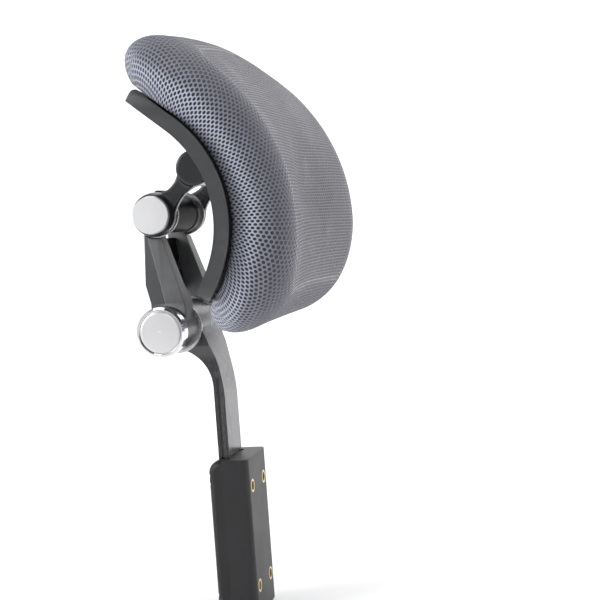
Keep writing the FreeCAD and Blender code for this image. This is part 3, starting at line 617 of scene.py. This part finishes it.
def inflate(thing, pinned_count, cap):
    """Cloth pass: the cover is held at its rear edge and filled by light pressure."""
    rest = np.zeros(len(thing.data.vertices) * 3, np.float32)
    thing.data.vertices.foreach_get("co", rest)
    rest = rest.reshape(-1, 3)
    group = thing.vertex_groups.new(name="held")
    total = len(thing.data.vertices)
    group.add(list(range(total - pinned_count, total)), 1.0, "REPLACE")
    cloth = thing.modifiers.new("cloth", "CLOTH")
    settings = cloth.settings
    settings.quality = 6
    settings.mass = 0.25
    settings.tension_stiffness = 25
    settings.compression_stiffness = 25
    settings.shear_stiffness = 10
    settings.bending_stiffness = 2
    settings.use_pressure = True
    settings.uniform_pressure_force = PRESSURE
    settings.vertex_group_mass = "held"
    settings.effector_weights.gravity = 0
    scene = bpy.context.scene
    for step in range(1, CLOTH_FRAMES + 1):
        scene.frame_set(step)
    graph = bpy.context.evaluated_depsgraph_get()
    shape = thing.evaluated_get(graph).to_mesh()
    moved = np.zeros(len(rest) * 3, np.float32)
    shape.vertices.foreach_get("co", moved)
    moved = moved.reshape(-1, 3)
    thing.evaluated_get(graph).to_mesh_clear()
    thing.modifiers.remove(cloth)
    change = moved - rest
    size = np.linalg.norm(change, axis=1, keepdims=True)
    change *= np.minimum(1.0, cap / np.maximum(size, 1e-9))
    thing.data.vertices.foreach_set("co", (rest + change).ravel())
    thing.data.update()
    scene.frame_set(1)


inflate(cushion, pinned, CLOTH_CAP)
cushion.data.materials.append(looks["mesh_fabric"])
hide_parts("mesh_cover", "foam_core")
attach(cushion, "head")


# ---------------------------------------------------------------- floor, light and camera

def make_floor():
    """Pale sweep: a flat floor that curves up into a far backdrop all round."""
    work = bmesh.new()
    profile = [(0.0, 0.0), (2.2, 0.0)]
    for k in range(1, 13):
        a = math.radians(90 * k / 12)
        profile.append((2.2 + 0.9 * math.sin(a), 0.9 - 0.9 * math.cos(a)))
    profile.append((3.1, 3.4))
    loops = []
    for n in range(72):
        turn = 2 * math.pi * n / 72
        loops.append([work.verts.new((r * math.cos(turn), r * math.sin(turn), z))
                      for r, z in profile[1:]])
    middle = work.verts.new((0, 0, 0))
    for n in range(72):
        a, b = loops[n], loops[(n + 1) % 72]
        work.faces.new((middle, a[0], b[0]))
        for k in range(len(a) - 1):
            work.faces.new((a[k], a[k + 1], b[k + 1], b[k]))
    mesh = bpy.data.meshes.new("floor")
    work.to_mesh(mesh)
    work.free()
    for polygon in mesh.polygons:
        polygon.use_smooth = True
    thing = bpy.data.objects.new("floor", mesh)
    thing.location = (0, 0, cad_low.z - 0.002)
    bpy.context.scene.collection.objects.link(thing)
    paper = Nodes("floor_paper", (0.86, 0.86, 0.86), 0.0, 0.85)
    tone = paper.noise(3, 2.0)
    paper.link(paper.mix(paper.remap(tone, 0.3, 0.7, 0, 1), (0.84, 0.84, 0.84),
                         (0.88, 0.88, 0.88)), paper.shader.inputs["Base Color"])
    mesh.materials.append(paper.mat)


make_floor()


def area_light(name, place, target, size, power):
    """Rectangular lamp at a place, turned to a target."""
    light = bpy.data.lights.new(name, "AREA")
    light.shape = "RECTANGLE"
    light.size, light.size_y = size
    light.energy = power
    lamp = bpy.data.objects.new(name, light)
    lamp.location = place
    lamp.rotation_euler = (Vector(target) - Vector(place)).to_track_quat("-Z", "Y").to_euler()
    bpy.context.scene.collection.objects.link(lamp)


area_light("rear_box", (-0.95, 1.35, 0.75), (0, 0, 0.20), (0.9, 0.8), 18)
area_light("side_box", (-1.6, -0.15, 1.15), (0, 0, 0.20), (0.7, 0.7), 2.5)
area_light("front_box", (-0.15, -1.6, 0.70), (0, 0, 0.18), (0.8, 1.0), 15)
area_light("top_box", (0.1, 0.1, 1.8), (0, 0, 0.15), (1.4, 1.4), 12)
area_light("wall_box", (1.3, -0.2, 1.9), (3.0, 0.4, 0.3), (1.2, 1.2), 45)

world = bpy.data.worlds.new("studio")
bpy.context.scene.world = world
world.use_nodes = True
world.node_tree.nodes["Background"].inputs["Color"].default_value = (0.95, 0.96, 1.0, 1)
world.node_tree.nodes["Background"].inputs["Strength"].default_value = 0.42

camera_data = bpy.data.cameras.new("camera")
camera_data.lens = 84
camera_data.sensor_width = 36
camera_data.clip_start = 0.05
camera_data.clip_end = 20
camera = bpy.data.objects.new("camera", camera_data)
bpy.context.scene.collection.objects.link(camera)
camera.location = (-0.864, -0.2154, 0.1995)
toward = Vector((0.9773, 0.2032, -0.0601)).normalized()
up = Vector((0.0733, -0.0582, 0.9956))
right = toward.cross(up).normalized()
up = right.cross(toward)
camera.rotation_mode = "QUATERNION"
camera.rotation_quaternion = Matrix((right, up, -toward)).transposed().to_quaternion()
bpy.context.scene.camera = camera

scene = bpy.context.scene
scene.view_settings.view_transform = "Standard"
